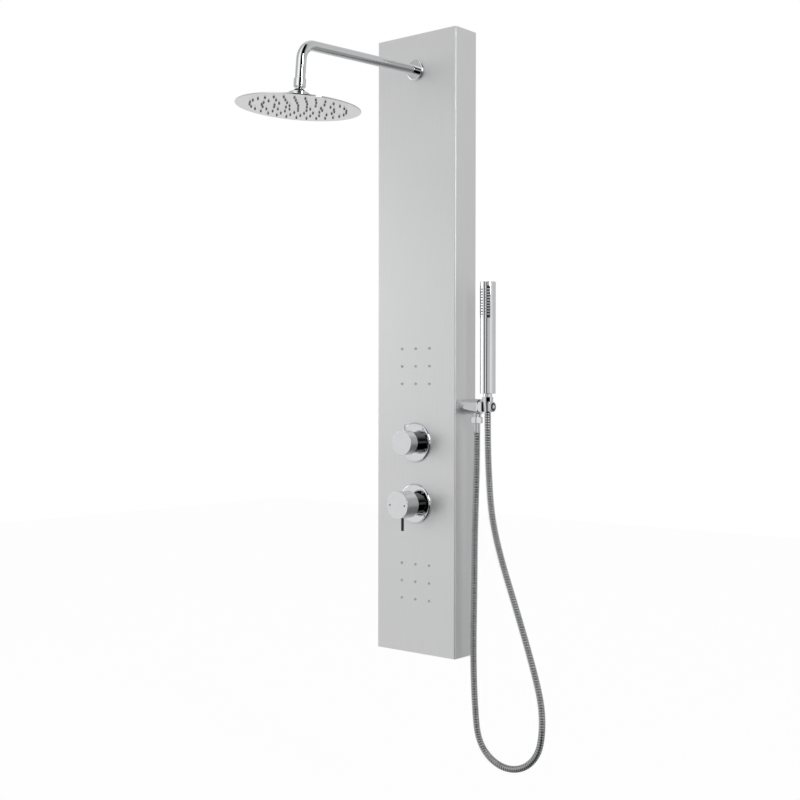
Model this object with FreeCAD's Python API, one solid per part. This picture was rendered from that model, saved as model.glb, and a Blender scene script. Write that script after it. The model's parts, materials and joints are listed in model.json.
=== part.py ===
"""Rainfall shower column: a folded steel panel that hangs on two wall brackets and carries an
overhead rain head on a bent arm, a diverter, a lever mixer, two groups of body jets and a hand
shower on a hose.

Units are millimetres. X points right, -Y points out of the wall and Z points up. The origin is
in the wall's plane, at the middle of the four wall screw holes.
"""
import FreeCAD, Part
import math
import os

V = FreeCAD.Vector
X_AXIS = V(1, 0, 0)
Y_AXIS = V(0, 1, 0)
Z_AXIS = V(0, 0, 1)

# Clearances
RUNNING = 0.05        # radial, between a shaft and the bore it turns in
GAP = 0.25            # between curved faces of pieces that move past each other
OVERRUN = 1.0         # how far a cutting shape reaches past the face that it cuts

# Panel
PANEL_WIDTH = 210.0
PANEL_DEPTH = 70.0
PANEL_HEIGHT = 1300.0
PANEL_SHEET = 1.5
FOLD_RADIUS = 3.0
REAR_LIP = 12.0
WALL_GAP = 1.0
END_TRAY_DEPTH = 14.0
END_TRAY_SHEET = 1.2

# Wall brackets and the bars that hang on them
HANGER_Z = 500.0
HANGER_SHEET = 2.0
BRACKET_WIDTH = 170.0
BRACKET_HEIGHT = 50.0
BRACKET_REACH = 12.0
HOOK_HEIGHT = 16.0
HOOK_SPACE = 2.0
BAR_HEIGHT = 50.0
WALL_HOLE_RADIUS = 3.0
WALL_HOLE_SPACING = 140.0

# Overhead arm
ARM_Z = 574.7
ARM_RADIUS = 10.0
ARM_WALL = 1.5
ARM_REACH = 410.7
ARM_SET_Y = 84.0
ARM_SAG = 2.4
ARM_SAG_BEND = 280.0
ARM_BEND = 32.0
ARM_THREAD_DEPTH = 20.0
DROP_LEAN_OUT = 2.19
DROP_LEAN_SIDE = 3.19
FLANGE_RADIUS = 21.5
FLANGE_THICK = 5.5

# Rain head, measured up its own axis from its underside
HEAD_DROP = 122.1
HEAD_RADIUS = 120.0
HEAD_EDGE = 2.4
HEAD_EDGE_ROUND = 0.6
HEAD_RIM = 2.0
HEAD_PLATE = 1.2
HEAD_WALL = 1.2
HEAD_SOLID_RIM = 12.0
HEAD_SHOULDER = (60.0, 9.0)
HEAD_CROWN = (22.0, 15.0)
HUB_RADIUS = 19.3
HUB_COLLAR_RADIUS = 20.0
HUB_COLLAR_HEIGHT = 3.0
HUB_TOP = 29.0
BALL_RADIUS = 8.0
BALL_HEIGHT = 30.0
BALL_NECK_RADIUS = 5.0
BALL_FIT = 0.06
RING_RADIUS = 9.6
RING_HALF_HEIGHT = 4.0
RETAINER_RADIUS = 10.5
RETAINER_BOTTOM = 22.0
RETAINER_TOP = 35.0
RETAINER_CHAMFER = 1.5
SWIVEL_NUT_RADIUS = 11.75
SWIVEL_NUT_BOTTOM = 37.5
SWIVEL_NUT_TOP = 56.0
SWIVEL_SEAT = 45.0
SWIVEL_BORE = 3.0
HEAD_RINGS = ((1, 0.0), (8, 23.0), (15, 46.0), (22, 69.0), (29, 92.0))
HEAD_NOZZLE_RADIUS = 2.2
HEAD_NOZZLE_TIP = 1.3
HEAD_NOZZLE_REACH = 3.0
HEAD_MAT_RADIUS = 100.0
NOZZLE_BORE = 0.6
NOZZLE_FIT = 0.1
MAT_THICK = 1.5

# Valves
MIXER_Z = -335.0
DIVERTER_Z = -206.0
ESCUTCHEON_RADIUS = 42.0
ESCUTCHEON_THICK = 4.5
ESCUTCHEON_ROUND = 3.5
VALVE_NECK_RADIUS = 20.0
VALVE_BODY_RADIUS = 24.0
VALVE_BODY_DEPTH = 44.0
VALVE_COLLAR_RADIUS = 28.0
VALVE_COLLAR_THICK = 4.0
SLEEVE_RADIUS = 22.0
SLEEVE_LENGTH = 17.5
SLEEVE_LIP = 4.0
CARTRIDGE_RADIUS = 17.5
CARTRIDGE_LENGTH = 38.0
TRIM_GAP = 2.0
MIXER_HANDLE_RADIUS = 28.5
MIXER_HANDLE_LENGTH = 36.0
DIVERTER_KNOB_RADIUS = 25.5
DIVERTER_KNOB_LENGTH = 22.0
KNOB_WALL = 2.5
KNOB_FACE = 4.0
KNOB_BOSS_RADIUS = 9.0
PIN_RADIUS = 3.0
LEVER_PIN_LENGTH = 25.9
LEVER_PIN_SET = 17.7
DIVERTER_PIN_LENGTH = 13.7
DIVERTER_PIN_SET = 10.4
PIN_SEAT = 6.0
CARRIER_RADIUS = 14.0
CARRIER_NOSE_RADIUS = 12.5
STEM_SIDE = 8.0
STEM_PIVOT_RADIUS = 2.0
MIXER_LIFT = 15.0
SPINDLE_RADIUS = 6.0
GRUB_RADIUS = 2.0
MARK_RADIUS = 2.0
MARK_OFFSET = 19.5
MARK_DEPTH = 0.6

# Body jets
JET_PITCH = 37.0
UPPER_JETS_Z = -46.0
LOWER_JETS_Z = -500.0
JET_TIP_RADIUS = 2.4
JET_REACH = 1.2
JET_MAT_SIDE = 100.0
MANIFOLD_SIDE = 104.0
MANIFOLD_DEPTH = 21.0
MANIFOLD_WALL = 4.0
STUD_RADIUS = 2.0
STUD_OFFSET = 58.0
EAR_RADIUS = 6.0
EAR_THICK = 4.0
STUD_NUT_FLATS = 7.0
STUD_NUT_HEIGHT = 3.2

# Pipework inside the panel
RISER_RADIUS = 8.0
RISER_Y = -36.0
RISER_WAY_Z = 11.0
SIDE_WAY = 9.0
WAY_RADIUS = 2.5
JET_PIPE_RADIUS = 5.0
JET_PIPE_X = -46.0
JET_PIPE_Y = -55.0
JET_PORT_OFFSET = 10.0
PIPE_WALL = 1.0
PIPE_BEND = 16.0
PORT_WALL = 3.0
PORT_REACH = 9.0
INLET_SPACING = 150.0
INLET_Y = -36.0
INLET_RADIUS = 9.0
INLET_ELBOW_RADIUS = 13.0
INLET_SHOULDER = -22.0
INLET_END = -6.0
NIPPLE_RADIUS = 10.48
NIPPLE_BORE = 7.5
ELBOW_RADIUS = 14.0
ELBOW_BACK = 24.0

# Hand shower holder on the panel's right side
HOLDER_Y = -37.0
HOLDER_Z = -130.0
HOLDER_RADIUS = 16.0
HOLDER_LENGTH = 43.0
HOLDER_FLAT_DEPTH = 3.2
HOLDER_FLAT_START = 2.7
HOLDER_FLAT_RAMP = 36.0
HOLDER_BORE = 6.0
OUTLET_X = 31.3
OUTLET_SPIGOT_RADIUS = 9.0
OUTLET_SPIGOT_REACH = 10.0
OUTLET_PIPE_X = 70.0
UNION_RADIUS = 13.0
UNION_LENGTH = 16.0
CLIP_OFFSET = 58.5
CLIP_RADIUS = 13.0
CLIP_HEIGHT = 20.0
CLIP_ROUND = 1.0
CLIP_SLOT = 15.0
CLIP_BOSS_RADIUS = 9.0
CLIP_SPIGOT_RADIUS = 5.0
CLIP_SPIGOT_LENGTH = 7.0
END_CAP_RADIUS = 10.5
END_CAP_LENGTH = 2.3

# Hose ends
NIPPLE_HOSE_RADIUS = 9.0
HEX_NUT_FLATS = 23.0
HEX_NUT_TURN = 25.0
HEX_NUT_TOP = -151.0
HEX_NUT_HEIGHT = 13.0
TAIL_RADIUS = 6.9
TAIL_FLANGE_RADIUS = 8.9
TAIL_FLANGE_THICK = 2.0
TAIL_BORE = 4.0
FERRULE_END = -182.0
CONE_TOP = -110.0
CONE_BOTTOM = -141.0
CONE_TOP_RADIUS = 11.6
CONE_BOTTOM_RADIUS = 9.0
CONE_SEAT = -120.0

# Hand shower
HANDSET_RADIUS = 16.0
HANDSET_BOTTOM = -103.0
HANDSET_TOP = 125.0
HANDSET_WALL = 2.5
SPRAY_BOTTOM = 51.3
SPRAY_HEIGHT = 65.3
SPRAY_HALF_ANGLE = 53.0
SPRAY_PLATE_HALF_ANGLE = 25.0
SPRAY_EDGE_GAP = 0.1
SPRAY_THICK = 2.0
SPRAY_PROUD = 0.3
SPRAY_ROWS = 10
SPRAY_ROW_PITCH = 5.65
SPRAY_COLUMN_ANGLE = 13.0
SPRAY_STRIP_ANGLE = 39.0
SPRAY_STRIP_HALF_ANGLE = 13.8
RIB_HALF_ANGLE = 9.5
RIB_HEIGHT = 2.4
RIB_SEAT = 1.0
RIB_REACH = 0.8
SPRAY_NOZZLE_RADIUS = 1.2
SPRAY_NOZZLE_REACH = 1.2

# Hose: its route is a list of points chosen by hand, (X, Z) in the holder's plane
HOSE_RADIUS = 7.0
HOSE_ROUTE = (
    (136.3, -182.0), (136.3, -250.0), (131.2, -382.0), (130.0, -510.0), (128.0, -612.0),
    (129.0, -690.0), (133.0, -756.0), (139.8, -812.8), (167.7, -848.5), (210.3, -864.0),
    (254.6, -854.6), (287.2, -823.1), (298.2, -779.1), (297.0, -722.0), (278.0, -655.0),
    (240.0, -549.0), (196.0, -436.0), (173.0, -352.0), (166.0, -262.0), (163.5, -200.0),
    (163.5, -141.0))

# Places worked out from the sizes above
FRONT = -PANEL_DEPTH
SHEET_BACK = FRONT + PANEL_SHEET
SIDE = PANEL_WIDTH / 2
SIDE_INNER = SIDE - PANEL_SHEET
TOP = PANEL_HEIGHT / 2
ESCUTCHEON_FRONT = FRONT - ESCUTCHEON_THICK
SLEEVE_FRONT = ESCUTCHEON_FRONT - SLEEVE_LENGTH
NECK_FRONT = SLEEVE_FRONT + SLEEVE_LIP
KNOB_BACK = SLEEVE_FRONT - TRIM_GAP
BODY_BACK = SHEET_BACK + VALVE_BODY_DEPTH
STEM_PIVOT_Y = NECK_FRONT + 4.0
HOLDER_END = SIDE + HOLDER_LENGTH
HANDSET_X = SIDE + CLIP_OFFSET
HOSE_OUTLET_X = SIDE + OUTLET_X
MIXER_WAYS = ((-SIDE_WAY, 0.0), (SIDE_WAY, 0.0), (0.0, RISER_WAY_Z))
DIVERTER_WAYS = ((SIDE_WAY + 2, 0.0), (0.0, RISER_WAY_Z), (0.0, -RISER_WAY_Z))


# Helpers

def save(name, *shapes):
    """Write one node, as one solid or as a group of separate solids."""
    shape = shapes[0] if len(shapes) == 1 else Part.makeCompound(list(shapes))
    shape.exportStep("parts/%s.step" % name)


def block(x, y, z):
    """A box from three (low, high) pairs."""
    return Part.makeBox(x[1] - x[0], y[1] - y[0], z[1] - z[0], V(x[0], y[0], z[0]))


def rod(radius, start, end):
    """A round bar between two points."""
    return Part.makeCylinder(radius, (end - start).Length, start, end - start)


def taper(start_radius, end_radius, start, end):
    """A round bar whose radius changes from one end to the other."""
    return Part.makeCone(start_radius, end_radius, (end - start).Length, start, end - start)


def pipe(radius, bore, start, end):
    """A straight tube between two points."""
    along = (end - start).normalize() * OVERRUN
    return rod(radius, start, end).cut(rod(bore, start - along, end + along))


def hex_bar(flats, start, end, first_turn=0.0):
    """A hexagonal bar between two points, given its width across flats."""
    axis = (end - start).normalize()
    side = axis.cross(X_AXIS)
    if side.Length < 0.5:
        side = axis.cross(Y_AXIS)
    side.normalize()
    corner_radius = flats / math.sqrt(3)
    turn = [FreeCAD.Rotation(axis, first_turn + 60.0 * i) for i in range(7)]
    wire = Part.makePolygon([start + r.multVec(side) * corner_radius for r in turn])
    return Part.Face(wire).extrude(end - start)


def revolve(points):
    """A solid of revolution about the Z axis from (radius, height) points."""
    wire = Part.makePolygon([V(r, 0, z) for r, z in points + points[:1]])
    return Part.Face(wire).revolve(V(0, 0, 0), Z_AXIS, 360)


def round_edges(shape, radius, test):
    """Fillet the edges whose middle point passes the test."""
    chosen = [e for e in shape.Edges if test(e.valueAt((e.FirstParameter + e.LastParameter) / 2))]
    return shape.makeFillet(radius, chosen)


def route_wire(points, bends):
    """Straight runs joined by tangent arcs. bends holds a radius for each inner point, or is
    None for arcs as large as the runs beside them allow. Returns the wire and the radii."""
    edges = []
    radii = []
    start = points[0]
    for i in range(1, len(points) - 1):
        run_in = points[i] - points[i - 1]
        run_out = points[i + 1] - points[i]
        half_turn = math.tan(run_in.getAngle(run_out) / 2)
        setback = bends[i - 1] * half_turn if bends else 0.45 * min(run_in.Length, run_out.Length)
        radius = setback / half_turn
        ahead = V(run_in).normalize()
        away = V(run_out).normalize()
        bisector = (away - ahead).normalize()
        arc_start = points[i] - ahead * setback
        arc_end = points[i] + away * setback
        arc_middle = points[i] + bisector * (math.hypot(radius, setback) - radius)
        edges.append(Part.LineSegment(start, arc_start).toShape())
        edges.append(Part.Arc(arc_start, arc_middle, arc_end).toShape())
        radii.append(radius)
        start = arc_end
    edges.append(Part.LineSegment(start, points[-1]).toShape())
    return Part.Wire(edges), radii


def sweep(wire, radius):
    """A round solid along a wire."""
    first = wire.Edges[0]
    circle = Part.Circle(first.valueAt(first.FirstParameter), first.tangentAt(first.FirstParameter),
                         radius)
    return wire.makePipeShell([Part.Wire(circle.toShape())], True, False)


def bent_pipe(points, radius, wall, bends):
    """A bent tube with open ends."""
    wire = route_wire(points, bends)[0]
    return sweep(wire, radius).cut(sweep(wire, radius - wall))


def port(body, mouth, inward, pipe_radius):
    """Add a socket to a body. The pipe ends PORT_REACH inside its mouth."""
    root = mouth + inward * (PORT_REACH + PORT_WALL)
    seat = mouth + inward * PORT_REACH
    through = mouth + inward * (PORT_REACH + 3 * PORT_WALL)
    body = body.fuse(rod(pipe_radius + PORT_WALL, mouth, root))
    body = body.cut(rod(pipe_radius + RUNNING, mouth - inward * OVERRUN, seat))
    return body.cut(rod(pipe_radius - PIPE_WALL, seat, through))


def jet_grid(centre_z):
    """The (X, Z) places of a three by three group of jets."""
    steps = (-JET_PITCH, 0.0, JET_PITCH)
    return [(x, centre_z + z) for x in steps for z in steps]


# Panel and hangers

def make_panel_shell():
    rear = -WALL_GAP
    outer = block((-SIDE, SIDE), (FRONT, rear), (-TOP, TOP))
    outer = round_edges(outer, FOLD_RADIUS, lambda p: abs(p.y - FRONT) < 0.1 and abs(p.z) < 0.1)
    inner = block((-SIDE_INNER, SIDE_INNER), (SHEET_BACK, rear - PANEL_SHEET),
                  (-TOP - OVERRUN, TOP + OVERRUN))
    inside_fold = FOLD_RADIUS - PANEL_SHEET
    inner = round_edges(inner, inside_fold, lambda p: abs(p.y - SHEET_BACK) < 0.1 and abs(p.z) < 0.1)
    opening_half = SIDE - REAR_LIP
    opening = block((-opening_half, opening_half), (rear - PANEL_SHEET - OVERRUN, OVERRUN),
                    (-TOP - OVERRUN, TOP + OVERRUN))
    holes = [hole_in_front(0, ARM_Z, ARM_RADIUS + GAP)]
    for z in (MIXER_Z, DIVERTER_Z):
        holes.append(hole_in_front(0, z, VALVE_NECK_RADIUS + GAP))
    for group in (UPPER_JETS_Z, LOWER_JETS_Z):
        holes += [hole_in_front(x, z, JET_TIP_RADIUS + NOZZLE_FIT) for x, z in jet_grid(group)]
    outlet = V(SIDE_INNER - OVERRUN, HOLDER_Y, HOLDER_Z)
    holes.append(rod(OUTLET_SPIGOT_RADIUS + GAP, outlet, outlet + X_AXIS * (PANEL_SHEET + 2 * OVERRUN)))
    save("panel_shell", outer.cut([inner, opening] + holes))


def hole_in_front(x, z, radius):
    start = V(x, FRONT - OVERRUN, z)
    return rod(radius, start, start + Y_AXIS * (PANEL_SHEET + 2 * OVERRUN))


def make_end_tray(name, end):
    """A folded tray that closes one end of the panel. end is 1 at the top and -1 at the bottom."""
    rear = -WALL_GAP - PANEL_SHEET
    heights = sorted((end * TOP, end * (TOP - END_TRAY_DEPTH)))
    outer = block((-SIDE_INNER, SIDE_INNER), (SHEET_BACK, rear), heights)
    inside_fold = FOLD_RADIUS - PANEL_SHEET
    middle = end * (TOP - END_TRAY_DEPTH / 2)
    outer = round_edges(outer, inside_fold,
                        lambda p: abs(p.y - SHEET_BACK) < 0.1 and abs(p.z - middle) < 0.1)
    hollow_half = SIDE_INNER - END_TRAY_SHEET
    hollow_heights = sorted((end * (TOP - END_TRAY_SHEET), end * (TOP - END_TRAY_DEPTH - OVERRUN)))
    hollow = block((-hollow_half, hollow_half), (SHEET_BACK + END_TRAY_SHEET, OVERRUN), hollow_heights)
    save(name, outer.cut(hollow))


def make_wall_bracket(name, centre_z):
    """A plate screwed to the wall, with a shelf and an upturned hook along its top."""
    half = BRACKET_WIDTH / 2
    top = centre_z + BRACKET_HEIGHT / 2
    bottom = centre_z - BRACKET_HEIGHT / 2
    plate = block((-half, half), (-HANGER_SHEET, 0), (bottom, top))
    shelf = block((-half, half), (-BRACKET_REACH, 0), (top - HANGER_SHEET, top))
    hook = block((-half, half), (-BRACKET_REACH, HANGER_SHEET - BRACKET_REACH),
                 (top, top + HOOK_HEIGHT - HOOK_SPACE))
    holes = []
    for x in (-WALL_HOLE_SPACING / 2, WALL_HOLE_SPACING / 2):
        holes.append(rod(WALL_HOLE_RADIUS, V(x, -HANGER_SHEET - OVERRUN, centre_z),
                         V(x, OVERRUN, centre_z)))
    save(name, plate.fuse([shelf, hook]).removeSplitter().cut(holes))


def make_hanger_bar(name, centre_z):
    """A bar welded between the panel's sides, whose rear lip stands on the bracket's shelf."""
    half = BRACKET_WIDTH / 2
    shelf = centre_z + BRACKET_HEIGHT / 2
    web = shelf + HOOK_HEIGHT
    front = -BRACKET_REACH - HOOK_SPACE - HANGER_SHEET
    lip_front = -BRACKET_REACH + HANGER_SHEET + HOOK_SPACE
    lip = block((-half, half), (lip_front, lip_front + HANGER_SHEET), (shelf, web))
    top = block((-half, half), (front, lip_front + HANGER_SHEET), (web, web + HANGER_SHEET))
    strip = block((-SIDE_INNER, SIDE_INNER), (front, front + HANGER_SHEET),
                  (web + HANGER_SHEET - BAR_HEIGHT, web + HANGER_SHEET))
    save(name, strip.fuse([lip, top]).removeSplitter())


# Overhead arm and rain head

def drop_direction():
    """The way the arm's last run points: down, leaning a little outwards and to the left."""
    side = math.radians(DROP_LEAN_SIDE)
    out = math.radians(DROP_LEAN_OUT)
    return V(-math.sin(side), -math.sin(out), -math.cos(side)).normalize()


def arm_corner():
    sag = (ARM_REACH - ARM_SET_Y) * math.tan(math.radians(ARM_SAG))
    return V(0, -ARM_REACH, ARM_Z - sag)


def seat_on_drop(shape):
    """Move a shape from the head's own axis, with its underside at zero, to the arm's end."""
    down = drop_direction()
    origin = arm_corner() + down * HEAD_DROP
    seated = shape.copy()
    seated.Placement = FreeCAD.Placement(origin, FreeCAD.Rotation(Z_AXIS, V(down) * -1))
    return seated


def make_arm():
    inlet = SHEET_BACK + ARM_THREAD_DEPTH
    corner = arm_corner()
    end = corner + drop_direction() * (HEAD_DROP - SWIVEL_SEAT)
    points = [V(0, inlet, ARM_Z), V(0, -ARM_SET_Y, ARM_Z), corner, end]
    save("shower_arm", bent_pipe(points, ARM_RADIUS, ARM_WALL, (ARM_SAG_BEND, ARM_BEND)))

    flange = rod(FLANGE_RADIUS, V(0, FRONT - FLANGE_THICK, ARM_Z), V(0, FRONT, ARM_Z))
    flange = round_edges(flange, FLANGE_THICK / 2, lambda p: abs(p.y - FRONT + FLANGE_THICK) < 0.1)
    bore = rod(ARM_RADIUS + RUNNING, V(0, FRONT - FLANGE_THICK - OVERRUN, ARM_Z),
               V(0, FRONT + OVERRUN, ARM_Z))
    save("arm_flange", flange.cut(bore))

    back = inlet + ELBOW_BACK
    elbow = rod(ELBOW_RADIUS, V(0, SHEET_BACK, ARM_Z), V(0, back, ARM_Z))
    elbow = elbow.fuse(hex_bar(2 * ELBOW_RADIUS + 4, V(0, SHEET_BACK, ARM_Z),
                               V(0, SHEET_BACK + 6, ARM_Z)))
    elbow = port(elbow, V(0, RISER_Y, ARM_Z - ELBOW_RADIUS - PORT_REACH), Z_AXIS, RISER_RADIUS)
    elbow = elbow.cut(rod(ARM_RADIUS + RUNNING, V(0, SHEET_BACK - OVERRUN, ARM_Z), V(0, inlet, ARM_Z)))
    water_way = rod(ARM_RADIUS - ARM_WALL, V(0, inlet, ARM_Z), V(0, back - PORT_WALL, ARM_Z))
    save("arm_inlet_elbow", elbow.cut(water_way))


def make_ball_joint():
    """The nut on the arm with its ball, the ring that turns on it and the retainer around both."""
    centre = V(0, 0, BALL_HEIGHT)
    nut = revolve([(0, SWIVEL_NUT_BOTTOM), (SWIVEL_NUT_RADIUS - 2.5, SWIVEL_NUT_BOTTOM),
                   (SWIVEL_NUT_RADIUS, SWIVEL_NUT_BOTTOM + 2.5), (SWIVEL_NUT_RADIUS,
                                                                  SWIVEL_NUT_TOP - 0.8),
                   (SWIVEL_NUT_RADIUS - 0.8, SWIVEL_NUT_TOP), (0, SWIVEL_NUT_TOP)])
    nut = nut.fuse(rod(BALL_NECK_RADIUS, centre, V(0, 0, SWIVEL_NUT_BOTTOM + OVERRUN)))
    nut = nut.fuse(Part.makeSphere(BALL_RADIUS, centre))
    nut = nut.cut(rod(ARM_RADIUS + RUNNING, V(0, 0, SWIVEL_SEAT), V(0, 0, SWIVEL_NUT_TOP + OVERRUN)))
    nut = nut.cut(rod(SWIVEL_BORE, V(0, 0, 0), V(0, 0, SWIVEL_NUT_TOP)))
    save("swivel_ball_nut", seat_on_drop(nut))

    zone = rod(RING_RADIUS + OVERRUN, centre - Z_AXIS * RING_HALF_HEIGHT,
               centre + Z_AXIS * RING_HALF_HEIGHT)
    ring = Part.makeSphere(RING_RADIUS, centre).common(zone)
    ring = ring.cut(Part.makeSphere(BALL_RADIUS + BALL_FIT, centre))
    save("ball_ring", seat_on_drop(ring))

    retainer = revolve([(0, RETAINER_BOTTOM), (RETAINER_RADIUS, RETAINER_BOTTOM),
                        (RETAINER_RADIUS, RETAINER_TOP - RETAINER_CHAMFER),
                        (RETAINER_RADIUS - RETAINER_CHAMFER, RETAINER_TOP), (0, RETAINER_TOP)])
    save("ball_retainer", seat_on_drop(retainer.cut(Part.makeSphere(RING_RADIUS + BALL_FIT, centre))))


def head_nozzle_places():
    places = []
    for count, radius in HEAD_RINGS:
        for i in range(count):
            angle = 2 * math.pi * i / count
            places.append(V(radius * math.cos(angle), radius * math.sin(angle), 0))
    return places


def make_rain_head():
    """The cover with its hub, the perforated plate under it and the rubber mat between them."""
    shoulder_radius, shoulder = HEAD_SHOULDER
    crown_radius, crown = HEAD_CROWN
    collar = HUB_TOP - HUB_COLLAR_HEIGHT
    cover = revolve([(0, 0), (HEAD_RADIUS - HEAD_EDGE_ROUND, 0), (HEAD_RADIUS, HEAD_EDGE_ROUND),
                     (HEAD_RADIUS, HEAD_EDGE - HEAD_EDGE_ROUND), (HEAD_RADIUS - HEAD_EDGE_ROUND,
                                                                  HEAD_EDGE),
                     HEAD_SHOULDER, HEAD_CROWN, (HUB_RADIUS, crown + 1.5), (HUB_RADIUS, collar),
                     (HUB_COLLAR_RADIUS, collar), (HUB_COLLAR_RADIUS, HUB_TOP - HEAD_EDGE_ROUND),
                     (HUB_COLLAR_RADIUS - HEAD_EDGE_ROUND, HUB_TOP), (0, HUB_TOP)])
    rim_inner = HEAD_RADIUS - HEAD_SOLID_RIM
    rise = (shoulder - HEAD_EDGE) / (HEAD_RADIUS - shoulder_radius)
    rim_ceiling = HEAD_EDGE + rise * HEAD_SOLID_RIM - HEAD_WALL
    chamber = revolve([(0, HEAD_PLATE), (rim_inner, HEAD_PLATE), (rim_inner, rim_ceiling),
                       (shoulder_radius, shoulder - HEAD_WALL), (crown_radius, crown - HEAD_WALL),
                       (0, crown - HEAD_WALL)])
    plate_radius = HEAD_RADIUS - HEAD_RIM
    plate_seat = rod(plate_radius, V(0, 0, -OVERRUN), V(0, 0, HEAD_PLATE))
    retainer_seat = rod(RETAINER_RADIUS + RUNNING, V(0, 0, RETAINER_BOTTOM), V(0, 0, HUB_TOP + OVERRUN))
    water_way = rod(BALL_NECK_RADIUS + OVERRUN, V(0, 0, HEAD_PLATE), V(0, 0, BALL_HEIGHT))
    save("head_cover", seat_on_drop(cover.cut([chamber, plate_seat, retainer_seat, water_way])))

    places = head_nozzle_places()
    plate = rod(plate_radius, V(0, 0, 0), V(0, 0, HEAD_PLATE))
    hole_radius = HEAD_NOZZLE_RADIUS + NOZZLE_FIT
    holes = [rod(hole_radius, p - Z_AXIS * OVERRUN, p + Z_AXIS * (HEAD_PLATE + OVERRUN)) for p in places]
    save("head_face_plate", seat_on_drop(plate.cut(holes)))

    mat_top = HEAD_PLATE + MAT_THICK
    mat = rod(HEAD_MAT_RADIUS, V(0, 0, HEAD_PLATE), V(0, 0, mat_top))
    tips = []
    bores = []
    for place in places:
        end = place - Z_AXIS * HEAD_NOZZLE_REACH
        tips.append(rod(HEAD_NOZZLE_RADIUS, place, place + Z_AXIS * (HEAD_PLATE + MAT_THICK / 2)))
        tips.append(taper(HEAD_NOZZLE_TIP, HEAD_NOZZLE_RADIUS, end, place))
        bores.append(rod(NOZZLE_BORE, end - Z_AXIS * OVERRUN, place + Z_AXIS * (mat_top + OVERRUN)))
    save("head_nozzle_mat", seat_on_drop(mat.fuse(tips).cut(bores)))


# Valves

def make_valve_trim(prefix, z):
    """The round plate on the panel and the sleeve that clamps it and holds the cartridge."""
    plate = rod(ESCUTCHEON_RADIUS, V(0, ESCUTCHEON_FRONT, z), V(0, FRONT, z))
    plate = round_edges(plate, ESCUTCHEON_ROUND, lambda p: abs(p.y - ESCUTCHEON_FRONT) < 0.1)
    bore = rod(VALVE_NECK_RADIUS + GAP, V(0, ESCUTCHEON_FRONT - OVERRUN, z), V(0, FRONT + OVERRUN, z))
    save(prefix + "_escutcheon", plate.cut(bore))

    sleeve = rod(SLEEVE_RADIUS, V(0, SLEEVE_FRONT, z), V(0, ESCUTCHEON_FRONT, z))
    thread = rod(VALVE_NECK_RADIUS + RUNNING, V(0, NECK_FRONT, z), V(0, ESCUTCHEON_FRONT + OVERRUN, z))
    mouth = rod(CARRIER_NOSE_RADIUS + GAP, V(0, SLEEVE_FRONT - OVERRUN, z), V(0, NECK_FRONT + OVERRUN, z))
    save(prefix + "_sleeve", sleeve.cut([thread, mouth]))


def valve_body(z):
    """A brass body behind the sheet, with a threaded neck through it and a bore for a cartridge."""
    neck = rod(VALVE_NECK_RADIUS, V(0, NECK_FRONT, z), V(0, SHEET_BACK, z))
    collar = rod(VALVE_COLLAR_RADIUS, V(0, SHEET_BACK, z), V(0, SHEET_BACK + VALVE_COLLAR_THICK, z))
    main = rod(VALVE_BODY_RADIUS, V(0, SHEET_BACK, z), V(0, BODY_BACK, z))
    return neck.fuse([collar, main])


def cartridge_bore(z):
    return rod(CARTRIDGE_RADIUS, V(0, NECK_FRONT - OVERRUN, z), V(0, NECK_FRONT + CARTRIDGE_LENGTH, z))


def ways(places, z, start, end):
    """Small water ways along Y, at (X, height above the valve's axis) places."""
    return [rod(WAY_RADIUS, V(x, start, z + rise), V(x, end, z + rise)) for x, rise in places]


def make_mixer_body():
    z = MIXER_Z
    body = valve_body(z)
    edge = VALVE_BODY_RADIUS + PORT_REACH
    body = port(body, V(0, RISER_Y, z + edge), V(0, 0, -1), RISER_RADIUS)
    for side in (-1, 1):
        body = port(body, V(side * edge, INLET_Y, z), V(-side, 0, 0), INLET_RADIUS)
        start = V(side * VALVE_BODY_RADIUS, INLET_Y, z)
        body = body.cut(rod(INLET_RADIUS - 2, start, V(side * SIDE_WAY, INLET_Y, z)))
    body = body.cut(ways(MIXER_WAYS, z, NECK_FRONT, RISER_Y))
    save("mixer_body", body.cut(cartridge_bore(z)))


def make_diverter_body():
    z = DIVERTER_Z
    body = valve_body(z)
    edge = VALVE_BODY_RADIUS + PORT_REACH
    for end in (-1, 1):
        body = port(body, V(0, RISER_Y, z + end * edge), V(0, 0, -end), RISER_RADIUS)
        body = port(body, V(-edge, JET_PIPE_Y, z + end * JET_PORT_OFFSET), X_AXIS, JET_PIPE_RADIUS)
    body = port(body, V(edge, HOLDER_Y, z), V(-1, 0, 0), RISER_RADIUS)
    body = body.cut(rod(RISER_RADIUS - PIPE_WALL, V(edge, HOLDER_Y, z), V(SIDE_WAY, HOLDER_Y, z)))
    body = body.cut(ways(DIVERTER_WAYS, z, NECK_FRONT, RISER_Y) + jet_ways(z))
    save("diverter_body", body.cut(cartridge_bore(z)))


def jet_ways(z):
    """The two side ways that feed the jet pipes from the diverter's cartridge."""
    rises = (z - JET_PORT_OFFSET, z + JET_PORT_OFFSET)
    return [rod(WAY_RADIUS, V(-VALVE_BODY_RADIUS, JET_PIPE_Y, h), V(-SIDE_WAY, JET_PIPE_Y, h))
            for h in rises]


def knob(radius, length, z):
    """A round cup that opens towards the wall, with a boss inside for the spindle."""
    face = KNOB_BACK - length
    cup = rod(radius, V(0, face, z), V(0, KNOB_BACK, z))
    cup = round_edges(cup, 0.6, lambda p: abs(p.y - face) < 0.1)
    hollow = rod(radius - KNOB_WALL, V(0, face + KNOB_FACE, z), V(0, KNOB_BACK + OVERRUN, z))
    boss = rod(KNOB_BOSS_RADIUS, V(0, face + KNOB_FACE - OVERRUN, z), V(0, KNOB_BACK - 4, z))
    return cup.cut(hollow).fuse(boss)


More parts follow.
